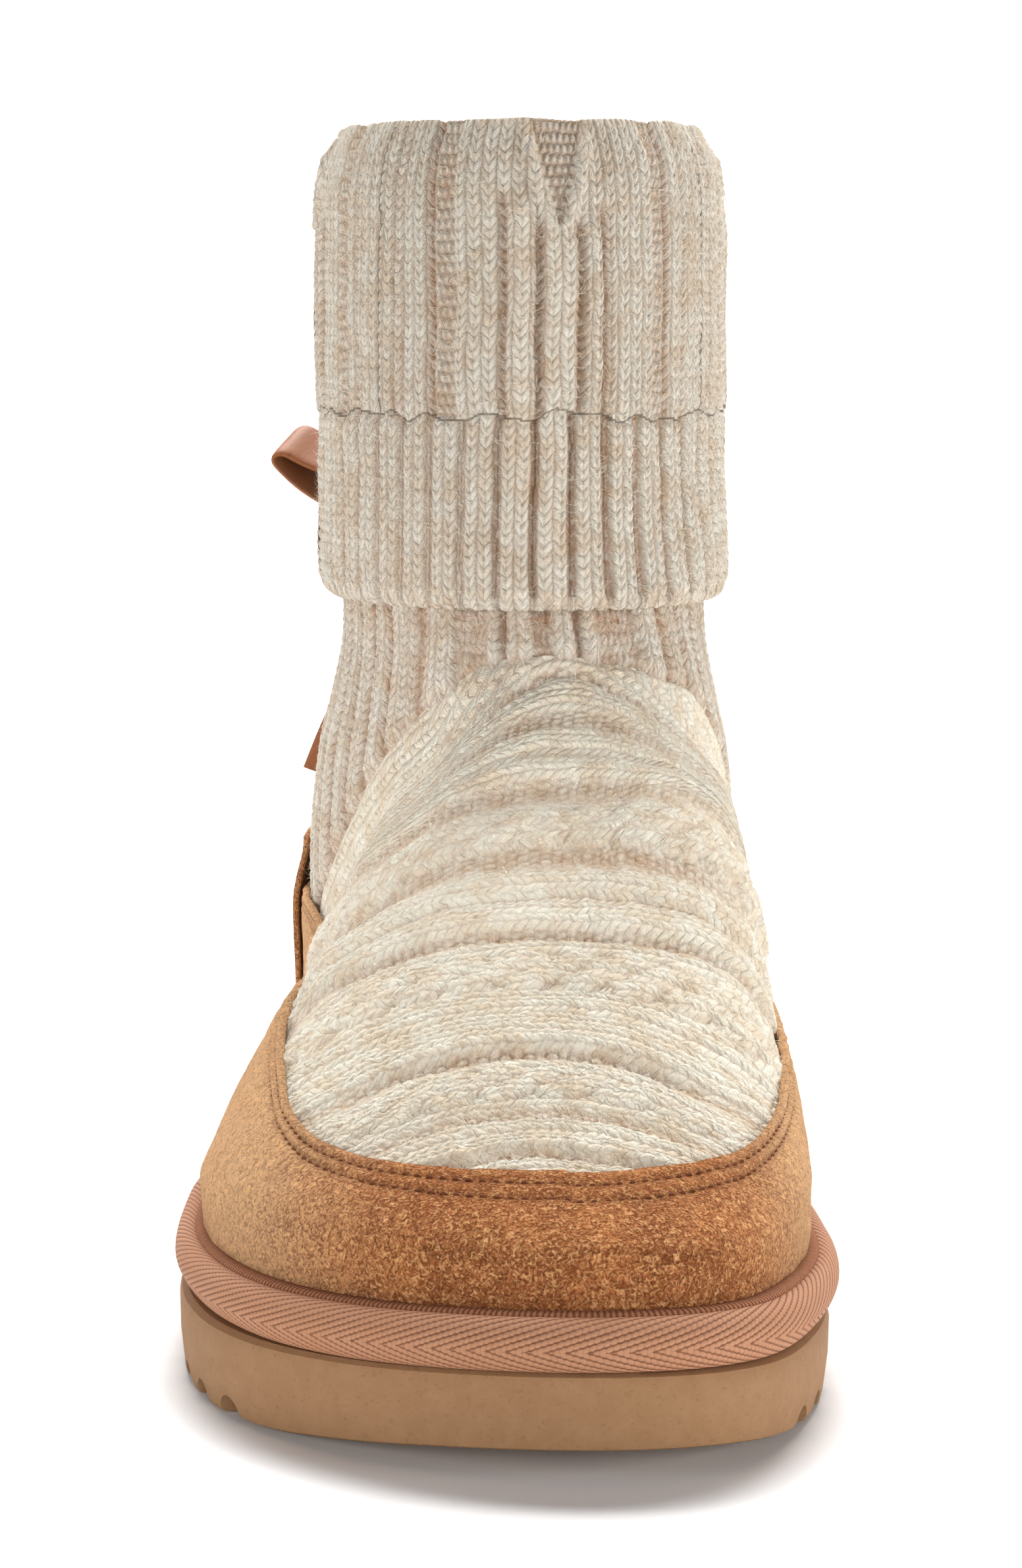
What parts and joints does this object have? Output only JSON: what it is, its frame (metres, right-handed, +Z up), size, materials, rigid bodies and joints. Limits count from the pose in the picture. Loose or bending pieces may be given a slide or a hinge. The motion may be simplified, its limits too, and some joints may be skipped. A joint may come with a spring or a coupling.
{
  "type": "knit ankle bootie",
  "caption": "Right-foot ankle bootie with a cable-knit upper and turned-down cuff, suede foxing and heel counter, taped binding, foam sole and a leather bow behind.",
  "frame": {"origin": "centre of the boot's overall box, at floor level", "axes": "+Z up from the floor, +Y towards the heel so the toe points to -Y, +X towards the medial side of a right foot"},
  "size_m": [0.1058, 0.2729, 0.2],
  "materials": {
    "knit": "woolly cable knit",
    "suede": "napped suede",
    "tape": "herringbone tape",
    "foam": "matte moulded foam",
    "plush": "fleecy pile",
    "ribbon_leather": "smooth leather"
  },
  "bodies": {
    "root": {"outsole": "foam", "binding": "tape", "insole": "plush", "knit_upper": "knit", "suede_foxing": "suede", "heel_counter": "suede", "bow_knot": "ribbon_leather", "bow_loop_lateral": "ribbon_leather", "bow_loop_medial": "ribbon_leather", "bow_tail_lateral": "ribbon_leather", "bow_tail_medial": "ribbon_leather"}
  },
  "joints": []
}
